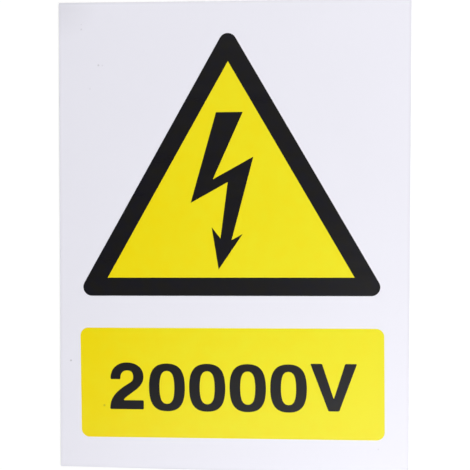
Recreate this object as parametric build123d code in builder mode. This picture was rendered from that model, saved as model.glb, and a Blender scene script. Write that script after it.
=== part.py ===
"""Flat high voltage warning sign: a cut plastic sheet with a two-colour screen print."""

from build123d import *

import math
import os

os.makedirs("parts", exist_ok=True)

# Layout of the print, from the bottom edge of the sheet to its top edge
bottom_margin = 13.9
panel_height = 47.4
panel_gap = 13.8
triangle_height = 111.4
top_margin = 13.5

# Layout across the sheet
panel_width = 130.6
side_margin = 9.7

# Plastic sheet
sheet_thickness = 1.0
sheet_corner_radius = 0.4
sheet_edge_radius = 0.15

# Ink films: the yellow runs under the edge of the black by the trap
ink_thickness = 0.03
ink_trap = 0.6

# The blank was cut a little askew round the print
print_shift = -1.2
print_turn = 0.6

# Warning triangle: its height is taken to the top of the round corner
triangle_corner_radius = 3.8
border_band = 7.8
panel_corner_radius = 3.5

# Lightning arrow: the yellow left below its tip and above its flat top, and the tip's place
arrow_tip_gap = 3.5
arrow_top_gap = 21.5
arrow_tip_offset = 4.8

# Sizes that follow
triangle_inradius = (triangle_height + triangle_corner_radius) / 3
triangle_side = 2 * math.sqrt(3) * triangle_inradius
field_inradius = triangle_inradius - border_band
corner_trim = triangle_corner_radius * (math.sqrt(3) - 1)
triangle_width = triangle_side - 2 * corner_trim
sheet_width = max(panel_width, triangle_width) + 2 * side_margin
sheet_height = bottom_margin + panel_height + panel_gap + triangle_height + top_margin
black_thickness = 2 * ink_thickness

# The print's own plane lies on the sheet, with its origin in the middle of the print
print_plane = Plane(
    origin=(print_shift, 0, sheet_thickness),
    x_dir=(math.cos(math.radians(print_turn)), math.sin(math.radians(print_turn)), 0),
    z_dir=(0, 0, 1),
)
panel_centre_y = bottom_margin + panel_height / 2 - sheet_height / 2
triangle_base_y = panel_centre_y + panel_height / 2 + panel_gap
triangle_centre_y = triangle_base_y + triangle_inradius


# Sheet: cut to size, with the soft top edge that the cutter leaves
with BuildPart() as sign_sheet:
    with BuildSketch():
        RectangleRounded(sheet_width, sheet_height, sheet_corner_radius)
    extrude(amount=sheet_thickness)
    fillet(sign_sheet.faces().sort_by(Axis.Z)[-1].edges(), sheet_edge_radius)

sign_sheet.part.label = "sign_sheet"
export_step(sign_sheet.part, "parts/sign_sheet.step")


# Number panel: a plain field of yellow ink with round corners
with BuildPart() as number_panel:
    with BuildSketch(print_plane):
        with Locations((0, panel_centre_y)):
            RectangleRounded(panel_width, panel_height, panel_corner_radius)
    extrude(amount=ink_thickness)

number_panel.part.label = "number_panel"
export_step(number_panel.part, "parts/number_panel.step")


# Triangle field: yellow ink that reaches under the black border by the trap
with BuildPart() as triangle_field:
    with BuildSketch(print_plane):
        with Locations((0, triangle_centre_y)):
            RegularPolygon(field_inradius + ink_trap, 3, major_radius=False, rotation=90)
    extrude(amount=ink_thickness)

triangle_field.part.label = "triangle_field"
export_step(triangle_field.part, "parts/triangle_field.step")


# Triangle border: black ink with round outer corners and sharp inner ones, over the yellow's edge
with BuildPart() as triangle_border:
    with BuildSketch(print_plane) as border_outline:
        with Locations((0, triangle_centre_y)):
            RegularPolygon(triangle_inradius, 3, major_radius=False, rotation=90)
        fillet(border_outline.vertices(), triangle_corner_radius)
        with Locations((0, triangle_centre_y)):
            RegularPolygon(field_inradius, 3, major_radius=False, rotation=90, mode=Mode.SUBTRACT)
    extrude(amount=black_thickness)
    add(triangle_field.part, mode=Mode.SUBTRACT)

triangle_border.part.label = "triangle_border"
export_step(triangle_border.part, "parts/triangle_border.step")


# Lightning arrow: drawn on a grid of squares that is as high as the arrow. Corners are
# given across and up from its tip, and each shelf by how far it runs in from its corner.
arrow_rows = 66
arrow_square = (3 * field_inradius - arrow_tip_gap - arrow_top_gap) / arrow_rows
arrow_tip = (-arrow_tip_offset, triangle_base_y + border_band + arrow_tip_gap)
shelf_slope = 6 / 11


def along_shelf(corner, across):
    """The grid point reached from a corner along one of the arrow's three parallel shelves."""
    return (corner[0] + across, corner[1] + across * shelf_slope)


def on_print(grid_point):
    """A point of the arrow's grid, which starts at the tip, as a point of the print."""
    return (
        arrow_tip[0] + arrow_square * grid_point[0],
        arrow_tip[1] + arrow_square * grid_point[1],
    )


top_left = (-0.5, arrow_rows)
top_right = (10.8, arrow_rows)
right_elbow = (15.1, 47.3)
left_elbow = (-11.6, 28.1)
right_barb = (10.3, 14.9)
left_barb = (-2.8, 17.8)
left_throat = (0.9, 13.1)
right_shelf = -17.2
left_shelf = 15.8
barb_shelf = -4.7
arrow_corners = [
    top_left,
    top_right,
    along_shelf(right_elbow, right_shelf),
    right_elbow,
    along_shelf(right_barb, barb_shelf),
    right_barb,
    (0, 0),
    left_barb,
    left_throat,
    along_shelf(left_elbow, left_shelf),
    left_elbow,
]

with BuildPart() as lightning_arrow:
    with BuildSketch(print_plane.offset(ink_thickness)):
        with BuildLine():
            Polyline([on_print(corner) for corner in arrow_corners], close=True)
        make_face()
    extrude(amount=ink_thickness)

lightning_arrow.part.label = "lightning_arrow"
export_step(lightning_arrow.part, "parts/lightning_arrow.step")
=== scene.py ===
"""High voltage warning sign: a cut PVC sheet with a yellow and a black screen print, lying face up."""

import math

import bpy
import bmesh
from mathutils import Matrix, Vector


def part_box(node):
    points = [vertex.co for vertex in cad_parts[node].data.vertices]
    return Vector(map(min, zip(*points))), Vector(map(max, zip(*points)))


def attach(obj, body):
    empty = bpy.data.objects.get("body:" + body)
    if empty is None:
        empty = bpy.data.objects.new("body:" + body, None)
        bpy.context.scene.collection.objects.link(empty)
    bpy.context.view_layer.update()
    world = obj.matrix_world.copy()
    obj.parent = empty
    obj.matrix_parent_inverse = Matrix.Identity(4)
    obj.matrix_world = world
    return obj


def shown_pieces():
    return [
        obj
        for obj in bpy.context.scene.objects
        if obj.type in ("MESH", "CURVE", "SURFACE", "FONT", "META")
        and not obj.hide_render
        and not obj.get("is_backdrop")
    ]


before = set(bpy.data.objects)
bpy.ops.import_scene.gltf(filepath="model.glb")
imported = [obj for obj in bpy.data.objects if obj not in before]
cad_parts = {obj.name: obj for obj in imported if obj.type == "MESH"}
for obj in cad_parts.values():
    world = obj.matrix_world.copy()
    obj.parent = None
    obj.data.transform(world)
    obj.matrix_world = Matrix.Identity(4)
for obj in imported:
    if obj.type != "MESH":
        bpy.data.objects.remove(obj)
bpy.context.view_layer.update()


# The sheet is 1 mm rigid PVC, white all through. It was calendered between steel rolls
# and cut on a guillotine, which rolls the printed edge over a little and leaves dull,
# finely torn sides. Nothing is fixed to it.

mm = 0.001


def linear(colour):
    """The linear values of an sRGB hex colour, as a shader socket takes them."""
    levels = [int(colour[i:i + 2], 16) / 255 for i in (1, 3, 5)]
    return [v / 12.92 if v <= 0.04045 else ((v + 0.055) / 1.055) ** 2.4 for v in levels] + [1.0]


def add_node(tree, kind, inputs=(), **settings):
    """Adds a node with its settings. Each input, by name or number, takes a value or a link.

    A link is another node, for its first output, or a node and the name of its output.
    """
    node = tree.nodes.new(kind)
    for setting, value in settings.items():
        setattr(node, setting, value)
    for key, value in dict(inputs).items():
        named = [socket for socket in node.inputs if socket.enabled and socket.name == key]
        socket = named[0] if named else node.inputs[key]
        if isinstance(value, bpy.types.Node):
            tree.links.new(next(out for out in value.outputs if out.enabled), socket)
        elif isinstance(value, tuple) and isinstance(value[0], bpy.types.Node):
            tree.links.new(value[0].outputs[value[1]], socket)
        else:
            socket.default_value = value
    return node


def new_material(name):
    """An empty material of that name, with its node tree."""
    material = bpy.data.materials.new(name)
    material.use_nodes = True
    material.node_tree.nodes.clear()
    return material, material.node_tree


# How far from its middle a speck is still at its darkest, and where it ends, in diameters
speck_core = 0.2
speck_end = 0.6


def add_specks(tree, place, ground, specks, height, speck_colour):
    """Lays round specks over a colour, each given as across, up, diameter and how dark."""
    for across, up, diameter, darkness in specks:
        middle = (across * mm, up * mm, height)
        away = add_node(
            tree,
            "ShaderNodeVectorMath",
            {0: (place, "Object"), 1: middle},
            operation="DISTANCE",
        )
        speck = add_node(
            tree,
            "ShaderNodeMapRange",
            {
                "Value": (away, "Value"),
                "From Min": speck_core * diameter * mm,
                "From Max": speck_end * diameter * mm,
                "To Min": darkness,
                "To Max": 0.0,
            },
        )
        ground = add_node(
            tree,
            "ShaderNodeMix",
            {"Factor": speck, "A": ground, "B": linear(speck_colour)},
            data_type="RGBA",
        )
    return ground


def cover(node_name, material):
    """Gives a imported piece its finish, in every slot that it has."""
    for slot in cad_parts[node_name].material_slots:
        slot.material = material


# Rigid PVC is a cool, opaque white with a satin face. The eye gets a soft, even glow
# off it, drawn out a little by the rolls' fine orange peel and by the slow waves of a
# sheet that cooled on the rolls.
pvc_white = "#EBEAF3"
pvc_white_dense = "#EDECF5"
pvc_dust = "#7C7A80"
pvc_ior = 1.53
pvc_roughness = 0.285
dense_patch = 38 * mm
roll_peel = 1.3 * mm
roll_peel_depth = 0.004 * mm
cooling_wave = 55 * mm
cooling_wave_depth = 0.06 * mm

# The blade tore the cut sides in fine upright lines. How upright a surface's normal is
# tells them from the faces: under the first value it is a side, over the second a face.
torn_line = 0.35 * mm
torn_line_length = 1.75 * mm
torn_depth = 0.02 * mm
torn_roughness = 0.7
side_upright = 0.1
face_upright = 0.5

# Painted shade: the sheet is greyed a little at its upper left corner, where less light reaches it
painted_shade_grey = "#B9B8BE"
corner_shade_reach = 17 * mm
corner_shade_share = 0.21

# Painted shade: a thin grey line along the cut edges and over the cut sides
rim_shade_reach = 1.3 * mm
rim_shade_share = 0.14

# Specks of dust pressed into the sheet: across and up from its middle and diameter, in mm,
# and how dark
sheet_dust = [
    (-57.8, 73.3, 1.0, 0.30),
    (-56.1, 73.2, 0.8, 0.14),
    (-61.5, 63.3, 0.9, 0.12),
    (-65.2, 90.7, 0.7, 0.12),
    (-65.2, 88.6, 0.9, 0.20),
    (-70.3, -53.7, 0.9, 0.45),
    (62.3, -89.2, 0.9, 0.14),
]
sheet_low, sheet_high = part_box("sign_sheet")

rigid_pvc, tree = new_material("white_rigid_pvc")
place = add_node(tree, "ShaderNodeTexCoord")
patches = add_node(
    tree,
    "ShaderNodeTexNoise",
    {"Vector": (place, "Object"), "Scale": 1 / dense_patch, "Detail": 2.0},
)
white = add_node(
    tree,
    "ShaderNodeMix",
    {"Factor": patches, "A": linear(pvc_white), "B": linear(pvc_white_dense)},
    data_type="RGBA",
)
# Painted shade: grey laid over the white, strongest at the upper left corner and gone within its reach
from_corner = add_node(
    tree,
    "ShaderNodeVectorMath",
    {0: (place, "Object"), 1: (sheet_low[0], sheet_high[1], sheet_high[2])},
    operation="DISTANCE",
)
corner_shade = add_node(
    tree,
    "ShaderNodeMapRange",
    {"Value": (from_corner, "Value"), "From Max": corner_shade_reach, "To Min": corner_shade_share, "To Max": 0.0},
)
white = add_node(
    tree,
    "ShaderNodeMix",
    {"Factor": corner_shade, "A": white, "B": linear(painted_shade_grey)},
    data_type="RGBA",
)
# How far in from the nearest cut edge, with the four quarters folded onto one
folded = add_node(tree, "ShaderNodeVectorMath", {0: (place, "Object")}, operation="ABSOLUTE")
inset = add_node(tree, "ShaderNodeVectorMath", {0: sheet_high, 1: folded}, operation="SUBTRACT")
inset_axes = add_node(tree, "ShaderNodeSeparateXYZ", {"Vector": inset})
from_rim = add_node(
    tree,
    "ShaderNodeMath",
    {0: (inset_axes, "X"), 1: (inset_axes, "Y")},
    operation="MINIMUM",
)
# Painted shade along the cut edges and on the sides, in the same grey as the corner
rim_shade = add_node(
    tree,
    "ShaderNodeMapRange",
    {"Value": from_rim, "From Max": rim_shade_reach, "To Min": rim_shade_share, "To Max": 0.0},
)
white = add_node(
    tree,
    "ShaderNodeMix",
    {"Factor": rim_shade, "A": white, "B": linear(painted_shade_grey)},
    data_type="RGBA",
)
white = add_specks(tree, place, white, sheet_dust, sheet_high[2], pvc_dust)
wave = add_node(
    tree,
    "ShaderNodeTexNoise",
    {"Vector": (place, "Object"), "Scale": 1 / cooling_wave, "Detail": 1.0},
)
waved = add_node(tree, "ShaderNodeBump", {"Height": wave, "Distance": cooling_wave_depth})
peel = add_node(
    tree,
    "ShaderNodeTexNoise",
    {"Vector": (place, "Object"), "Scale": 1 / roll_peel, "Detail": 3.0},
)
peeled = add_node(
    tree,
    "ShaderNodeBump",
    {"Height": peel, "Distance": roll_peel_depth, "Normal": waved},
)
facing = add_node(tree, "ShaderNodeSeparateXYZ", {"Vector": (place, "Normal")})
upright = add_node(tree, "ShaderNodeMath", {"Value": (facing, "Z")}, operation="ABSOLUTE")
on_side = add_node(
    tree,
    "ShaderNodeMapRange",
    {"Value": upright, "From Min": side_upright, "From Max": face_upright, "To Min": 1.0, "To Max": 0.0},
)
roughness = add_node(
    tree,
    "ShaderNodeMapRange",
    {"Value": on_side, "To Min": pvc_roughness, "To Max": torn_roughness},
)
torn_stretch = add_node(
    tree,
    "ShaderNodeMapping",
    {"Vector": (place, "Object"), "Scale": (1 / torn_line, 1 / torn_line, 1 / torn_line_length)},
)
torn = add_node(tree, "ShaderNodeTexNoise", {"Vector": torn_stretch, "Scale": 1.0, "Detail": 2.0})
torn_height = add_node(tree, "ShaderNodeMath", {0: on_side, 1: torn}, operation="MULTIPLY")
sides_torn = add_node(
    tree,
    "ShaderNodeBump",
    {"Height": torn_height, "Distance": torn_depth, "Normal": peeled},
)
shader = add_node(
    tree,
    "ShaderNodeBsdfPrincipled",
    {"Base Color": white, "Roughness": roughness, "IOR": pvc_ior, "Normal": sides_torn},
)
add_node(tree, "ShaderNodeOutputMaterial", {"Surface": shader})
cover("sign_sheet", rigid_pvc)


# The two yellow fields are one pass of solvent screen ink: the panel at the foot and the
# triangle, whose edge runs under the black. The yellow is golden on the left and turns
# lemon to the right, which is painted light where the key lamp lights it most, and it
# also turns lemon toward the middle of the panel.

yellow_golden = "#F1DB01"
yellow_lemon = "#EFE521"
yellow_ior = 1.5
yellow_roughness = 0.285

# How much thinner or heavier small patches are, and how much lighter and more lemon
# the yellow turns toward the middle of the panel
yellow_patch = 6 * mm
yellow_patch_share = 0.45
middle_reach = 65 * mm
middle_share = 0.38

# The mesh of the screen, about 0.13 mm, is too fine to show, so its levelled marks are
# drawn at 0.9 mm
screen_mark = 0.9 * mm
screen_mark_depth = 0.002 * mm
yellow_dust = [(-55.6, -72.9, 1.1, 0.35)]
yellow_dust_colour = "#6E6A30"
panel_low, panel_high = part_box("number_panel")
panel_middle = (Vector(panel_low) + Vector(panel_high)) / 2

yellow_ink, tree = new_material("yellow_screen_ink")
place = add_node(tree, "ShaderNodeTexCoord")
axes = add_node(tree, "ShaderNodeSeparateXYZ", {"Vector": (place, "Object")})
# Painted light: the yellow turns from golden to lemon across the print, lighter toward the key lamp on
# the right
painted_light_across = add_node(
    tree,
    "ShaderNodeMapRange",
    {"Value": (axes, "X"), "From Min": panel_low[0], "From Max": panel_high[0]},
)
patches = add_node(
    tree,
    "ShaderNodeTexNoise",
    {"Vector": (place, "Object"), "Scale": 1 / yellow_patch, "Detail": 3.0},
)
uneven = add_node(
    tree,
    "ShaderNodeMapRange",
    {"Value": patches, "To Min": -yellow_patch_share, "To Max": yellow_patch_share},
)
from_middle = add_node(
    tree,
    "ShaderNodeVectorMath",
    {0: (place, "Object"), 1: panel_middle},
    operation="DISTANCE",
)
# The yellow turns lighter and more lemon toward the middle of the panel
middle_lift = add_node(
    tree,
    "ShaderNodeMapRange",
    {"Value": (from_middle, "Value"), "From Max": middle_reach, "To Min": middle_share, "To Max": 0.0},
)
light_and_middle = add_node(tree, "ShaderNodeMath", {0: painted_light_across, 1: middle_lift}, operation="ADD")
film_mix = add_node(tree, "ShaderNodeMath", {0: light_and_middle, 1: uneven}, operation="ADD", use_clamp=True)
yellow = add_node(
    tree,
    "ShaderNodeMix",
    {"Factor": film_mix, "A": linear(yellow_golden), "B": linear(yellow_lemon)},
    data_type="RGBA",
)
yellow = add_specks(tree, place, yellow, yellow_dust, panel_high[2], yellow_dust_colour)
marks = add_node(
    tree,
    "ShaderNodeTexNoise",
    {"Vector": (place, "Object"), "Scale": 1 / screen_mark, "Detail": 2.0},
)
levelled = add_node(tree, "ShaderNodeBump", {"Height": marks, "Distance": screen_mark_depth})
shader = add_node(
    tree,
    "ShaderNodeBsdfPrincipled",
    {"Base Color": yellow, "Roughness": yellow_roughness, "IOR": yellow_ior, "Normal": levelled},
)
add_node(tree, "ShaderNodeOutputMaterial", {"Surface": shader})
cover("number_panel", yellow_ink)
cover("triangle_field", yellow_ink)


# The border and the lightning arrow are a second pass, in black, that trims the yellow's
# edge. Carbon black ink dries to a deep satin that is cool where it lies thick and warmer
# where it is thin, and its gloss follows the way the blade went.

black_thick = "#0F0E17"
black_thin = "#13110E"
black_ior = 1.5
black_roughness = 0.285

# The levels of the patches' noise between which the film goes from thick to thin
black_patch = 3.6 * mm
thick_level = 0.3
thin_level = 0.7

# The blade's bands of gloss, and the screen's marks, which stand a little higher here
blade_band = 4 * mm
blade_band_length = 60 * mm
blade_band_gloss = 0.03
black_mark_depth = 0.003 * mm

black_ink, tree = new_material("black_screen_ink")
place = add_node(tree, "ShaderNodeTexCoord")
patches = add_node(
    tree,
    "ShaderNodeTexNoise",
    {"Vector": (place, "Object"), "Scale": 1 / black_patch, "Detail": 1.0},
)
film_mix = add_node(
    tree,
    "ShaderNodeMapRange",
    {"Value": patches, "From Min": thick_level, "From Max": thin_level},
)
black = add_node(
    tree,
    "ShaderNodeMix",
    {"Factor": film_mix, "A": linear(black_thick), "B": linear(black_thin)},
    data_type="RGBA",
)
drawn = add_node(
    tree,
    "ShaderNodeMapping",
    {"Vector": (place, "Object"), "Scale": (1 / blade_band_length, 1 / blade_band, 1 / blade_band)},
)
bands = add_node(tree, "ShaderNodeTexNoise", {"Vector": drawn, "Scale": 1.0, "Detail": 1.0})
gloss = add_node(
    tree,
    "ShaderNodeMapRange",
    {
        "Value": bands,
        "To Min": black_roughness - blade_band_gloss,
        "To Max": black_roughness + blade_band_gloss,
    },
)
marks = add_node(
    tree,
    "ShaderNodeTexNoise",
    {"Vector": (place, "Object"), "Scale": 1 / screen_mark, "Detail": 2.0},
)
levelled = add_node(tree, "ShaderNodeBump", {"Height": marks, "Distance": black_mark_depth})
shader = add_node(
    tree,
    "ShaderNodeBsdfPrincipled",
    {"Base Color": black, "Roughness": gloss, "IOR": black_ior, "Normal": levelled},
)
add_node(tree, "ShaderNodeOutputMaterial", {"Surface": shader})
cover("triangle_border", black_ink)
cover("lightning_arrow", black_ink)


# The panel carries a plain round number of volts, printed in the same black pass. Its
# bold figures are drawn here as type is drawn, by curves through a few points, and stand
# one film of ink above the yellow.

# Sizes of the type in mm. A round reaches past the flat figures by the overshoot, and the
# noughts are set down by the sink.
figure_height = 19.9
letter_height = 20.25
stem = 4.6
round_overshoot = 0.35
round_sink = 0.35

# Where the row's pieces stand across from the panel's middle, how far the row is below it,
# and the turn that it shares with the rest of the print
first_figure = -45.2
pitch = 17.47
noughts = 4
letter_place = 43.9
figures_drop = 1.6
print_turn = math.radians(0.6)

# How far a handle reaches toward the corner of a round, on an ellipse and on the noughts
round_handle = 0.55
fullness = 0.70

# How far from a sharp corner the wet ink began to round it, and the turn that counts as sharp
ink_spread = 0.5
smooth_turn = math.radians(10)

# The straight steps that a curve is drawn in, and the gap under which two points are one
figure_steps = 16
weld_reach = 0.0005 * mm


def corner(x, y, before=None, after=None):
    """A point of an outline in mm, with the handles of the curves that reach and leave it."""
    return (x, y), before or (x, y), after or (x, y)


def oval(half_width, half_height, middle):
    """The outline of an upright round, flatter at its sides than an ellipse."""
    wide = half_width * fullness
    high = half_height * fullness
    return [
        corner(half_width, middle, (half_width, middle - high), (half_width, middle + high)),
        corner(0, middle + half_height, (wide, middle + half_height), (-wide, middle + half_height)),
        corner(-half_width, middle, (-half_width, middle + high), (-half_width, middle - high)),
        corner(0, middle - half_height, (-wide, middle - half_height), (wide, middle - half_height)),
    ]


def naught():
    """The outlines of the figure 0: an upright round with a narrow opening, set a little low."""
    half_width = 7.82
    half_height = figure_height / 2 + round_overshoot
    cap = 3.2
    middle = figure_height / 2 - round_sink
    return [
        oval(half_width, half_height, middle),
        oval(half_width - stem, half_height - cap, middle),
    ]


def two():
    """The outline of the figure 2: a bowl that runs down into a flat foot."""
    left = -7.4
    right = 7.3
    foot = 3.9
    terminal = 13.0
    terminal_left = -7.15
    bowl = 14.1
    inner_bowl = 14.0
    cap = 3.45
    bowl_stem = 4.5
    top = figure_height + round_overshoot
    inner_right = right - bowl_stem
    inner_left = left + stem
    return [[
        corner(left, 0, before=(left, 4.9)),
        corner(right, 0),
        corner(right, foot),
        corner(-1.55, foot, after=(-0.75, foot + 1.2)),
        corner(3.55, 8.15, (1.55, 6.7), (6.0, 9.95)),
        corner(right, bowl, (right, 11.9), (right, 17.9)),
        corner(0.15, top, (4.3, top), (-4.35, top)),
        corner(terminal_left, terminal, before=(terminal_left, 17.3)),
        corner(inner_left, terminal, after=(inner_left, 15.5)),
        corner(0.2, top - cap, (-1.75, top - cap), (2.0, top - cap)),
        corner(inner_right, inner_bowl, (inner_right, 15.8), (inner_right, 12.2)),
        corner(-0.1, 10.6, (1.75, 11.75), (-4.6, 7.8)),
    ]]


def letter_v():
    """The outline of the letter V, the sign for volts."""
    half_width = 9.9
    arm = 5.0
    foot = 4.55
    notch = 5.2
    return [[
        corner(-half_width, letter_height),
        corner(-foot / 2, 0),
        corner(foot / 2, 0),
        corner(half_width, letter_height),
        corner(half_width - arm, letter_height),
        corner(0, notch),
        corner(arm - half_width, letter_height),
    ]]


def spread(outline):
    """The outline once its wet ink has drawn every sharp corner in to a small round."""
    drawn = []
    for index, (spot, before, after) in enumerate(outline):
        tip = Vector(spot)
        back = Vector(before if before != spot else outline[index - 1][2]) - tip
        ahead = Vector(after if after != spot else outline[(index + 1) % len(outline)][1]) - tip
        if ahead.angle(-back) < smooth_turn:
            drawn.append((spot, before, after))
            continue
        start = tip + ink_spread * back.normalized()
        end = tip + ink_spread * ahead.normalized()
        drawn += [
            corner(*start, before if before != spot else None, start.lerp(tip, round_handle)),
            corner(*end, end.lerp(tip, round_handle), after if after != spot else None),
        ]
    return drawn


def print_figure(name, outlines, across):
    """Lays a figure of black ink on the panel, so far across from the panel's middle."""
    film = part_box("triangle_border")[1][2] - panel_high[2]
    curve = bpy.data.curves.new(name, "CURVE")
    curve.dimensions = "2D"
    curve.fill_mode = "BOTH"
    curve.extrude = film / 2
    curve.resolution_u = figure_steps
    for outline in map(spread, outlines):
        spline = curve.splines.new("BEZIER")
        spline.bezier_points.add(len(outline) - 1)
        spline.use_cyclic_u = True
        for point, (spot, before, after) in zip(spline.bezier_points, outline):
            # Vector handles keep a straight run whole, where free ones would divide it
            point.handle_left_type = "VECTOR" if before == spot else "FREE"
            point.handle_right_type = "VECTOR" if after == spot else "FREE"
            point.co = (spot[0] * mm, spot[1] * mm, 0)
            point.handle_left = (before[0] * mm, before[1] * mm, 0)
            point.handle_right = (after[0] * mm, after[1] * mm, 0)
    pattern = bpy.data.objects.new(name + "_outline", curve)
    mesh = bpy.data.meshes.new_from_object(pattern)
    bpy.data.objects.remove(pattern)
    welded = bmesh.new()
    welded.from_mesh(mesh)
    bmesh.ops.remove_doubles(welded, verts=welded.verts, dist=weld_reach)
    bmesh.ops.recalc_face_normals(welded, faces=welded.faces)
    welded.to_mesh(mesh)
    welded.free()
    on_panel = Vector((panel_middle.x, panel_middle.y, panel_high[2] + film / 2))
    baseline = Vector((across * mm, -(figure_height / 2 + figures_drop) * mm, 0))
    mesh.transform(
        Matrix.Translation(on_panel) @ Matrix.Rotation(print_turn, 4, "Z") @ Matrix.Translation(baseline)
    )
    figure = bpy.data.objects.new(name, mesh)
    bpy.context.scene.collection.objects.link(figure)
    mesh.materials.append(black_ink)
    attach(figure, "root")


print_figure("printed_two", two(), first_figure)
for count in range(1, noughts + 1):
    print_figure("printed_naught_" + str(count), naught(), first_figure + count * pitch)
print_figure("printed_volt_sign", letter_v(), letter_place)


# The sign lies on a studio sweep of white paper: a round floor, a hair under the sheet,
# that curves up into a low wall. It is seen as white round the sign and as pale grey at
# the wall, and the sign's soft shadow stays on it. From below it can be looked through.

# Sizes in metres
sweep_drop = 0.05 * mm
sweep_floor = 1.8
sweep_cove = 0.5
sweep_height = 0.55
sweep_weld = 0.01 * mm

# The steps up the cove, and round the floor
cove_steps = 12
sweep_sides = 96

# The paper is darker than it is seen. The rest of its white is a glow that is there only
# for what sees or mirrors the paper, so that it doesn't light the sign.
sweep_white = "#A0A0A0"
sweep_lift = 0.70

sweep_profile = [(0.0, 0.0), (sweep_floor, 0.0)]
for step in range(1, cove_steps + 1):
    angle = math.pi / 2 * step / cove_steps
    out = sweep_floor + sweep_cove * math.sin(angle)
    sweep_profile.append((out, sweep_cove * (1 - math.cos(angle))))
sweep_profile.append((sweep_floor + sweep_cove, sweep_height))

turned = bmesh.new()
ring = [turned.verts.new((radius, 0, height - sweep_drop)) for radius, height in sweep_profile]
edges = [turned.edges.new(pair) for pair in zip(ring, ring[1:])]
bmesh.ops.spin(
    turned,
    geom=ring + edges,
    axis=(0, 0, 1),
    cent=(0, 0, 0),
    angle=2 * math.pi,
    steps=sweep_sides,
)
bmesh.ops.remove_doubles(turned, verts=turned.verts, dist=sweep_weld)
for face in turned.faces:
    face.smooth = True
    toward_middle = Vector((0, 0, sweep_height)) - face.calc_center_median()
    if face.normal.dot(toward_middle) < 0:
        face.normal_flip()
sweep_mesh = bpy.data.meshes.new("studio_sweep")
turned.to_mesh(sweep_mesh)
turned.free()
sweep = bpy.data.objects.new("studio_sweep", sweep_mesh)
bpy.context.scene.collection.objects.link(sweep)
sweep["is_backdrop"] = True

white_paper, tree = new_material("white_background_paper")
ray = add_node(tree, "ShaderNodeLightPath")
seen = add_node(
    tree,
    "ShaderNodeMath",
    {0: (ray, "Is Camera Ray"), 1: (ray, "Is Glossy Ray")},
    operation="MAXIMUM",
)
seen_or_through = add_node(
    tree,
    "ShaderNodeMath",
    {0: seen, 1: (ray, "Is Transmission Ray")},
    operation="MAXIMUM",
)
lift = add_node(tree, "ShaderNodeMath", {0: seen_or_through, 1: sweep_lift}, operation="MULTIPLY")
glow = add_node(tree, "ShaderNodeEmission", {"Strength": lift})
paper = add_node(tree, "ShaderNodeBsdfDiffuse", {"Color": linear(sweep_white)})
lit = add_node(tree, "ShaderNodeAddShader", {0: glow, 1: paper})
clear = add_node(tree, "ShaderNodeBsdfTransparent")
facing = add_node(tree, "ShaderNodeNewGeometry")
shown = add_node(tree, "ShaderNodeMixShader", {0: (facing, "Backfacing"), 1: lit, 2: clear})
add_node(tree, "ShaderNodeOutputMaterial", {"Surface": shown})
sweep_mesh.materials.append(white_paper)


# Soft studio light: the strongest box to the right, weaker ones past the head, the foot
# and the upper left corner of the sign, and one below for the sheet's back, which the
# floor doesn't block. The room adds a little.

room_strength = 0.04


def add_lamp(name, place, size, power):
    """A square soft box that faces the middle of the sign, in metres and watts."""
    light = bpy.data.lights.new(name, "AREA")
    light.shape = "SQUARE"
    light.size = size
    light.energy = power
    lamp = bpy.data.objects.new(name, light)
    lamp.location = place
    lamp.rotation_mode = "QUATERNION"
    lamp.rotation_quaternion = (-Vector(place)).to_track_quat("-Z", "Y")
    lamp.visible_camera = False
    bpy.context.scene.collection.objects.link(lamp)
    return lamp


add_lamp("key_box", (0.463, -0.158, 0.609), 0.6, 3.64)
add_lamp("head_box", (0.148, 0.403, 0.427), 0.7, 1.34)
add_lamp("foot_box", (0.082, -0.350, 0.400), 0.5, 1.22)
add_lamp("left_box", (-0.500, 0.527, 0.429), 0.7, 2.74)
back_lamp = add_lamp("back_box", (0.2, -0.3, -0.9), 0.6, 6.0)
blockers = bpy.data.collections.new("back_box_blockers")
back_lamp.light_linking.blocker_collection = blockers
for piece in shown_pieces():
    blockers.objects.link(piece)

world = bpy.data.worlds.new("studio_room")
bpy.context.scene.world = world
world.use_nodes = True
world.node_tree.nodes.clear()
room = add_node(
    world.node_tree,
    "ShaderNodeBackground",
    {"Color": linear("#FFFFFF"), "Strength": room_strength},
)
add_node(world.node_tree, "ShaderNodeOutputWorld", {"Surface": room})
bpy.context.scene.view_settings.view_transform = "Standard"


# The camera looks down on the sign from a little to its right, as the picture was taken.

camera_place = Vector((80.54, 32.23, 632.6)) * mm
camera_aim = Vector((1.14, 1.10, 1.0)) * mm
camera_roll = math.radians(0.06)

camera_data = bpy.data.cameras.new("camera")
camera_data.lens = 114.894
camera_data.sensor_width = 36
camera_data.clip_start = 0.05
camera_data.clip_end = 20
camera = bpy.data.objects.new("camera", camera_data)
camera.location = camera_place
backward = (camera_place - camera_aim).normalized()
rightward = Vector((0, 1, 0)).cross(backward).normalized()
upward = backward.cross(rightward)
camera.rotation_mode = "QUATERNION"
camera.rotation_quaternion = (
    Matrix((rightward, upward, backward)).transposed() @ Matrix.Rotation(camera_roll, 3, "Z")
).to_quaternion()
bpy.context.scene.collection.objects.link(camera)
bpy.context.scene.camera = camera
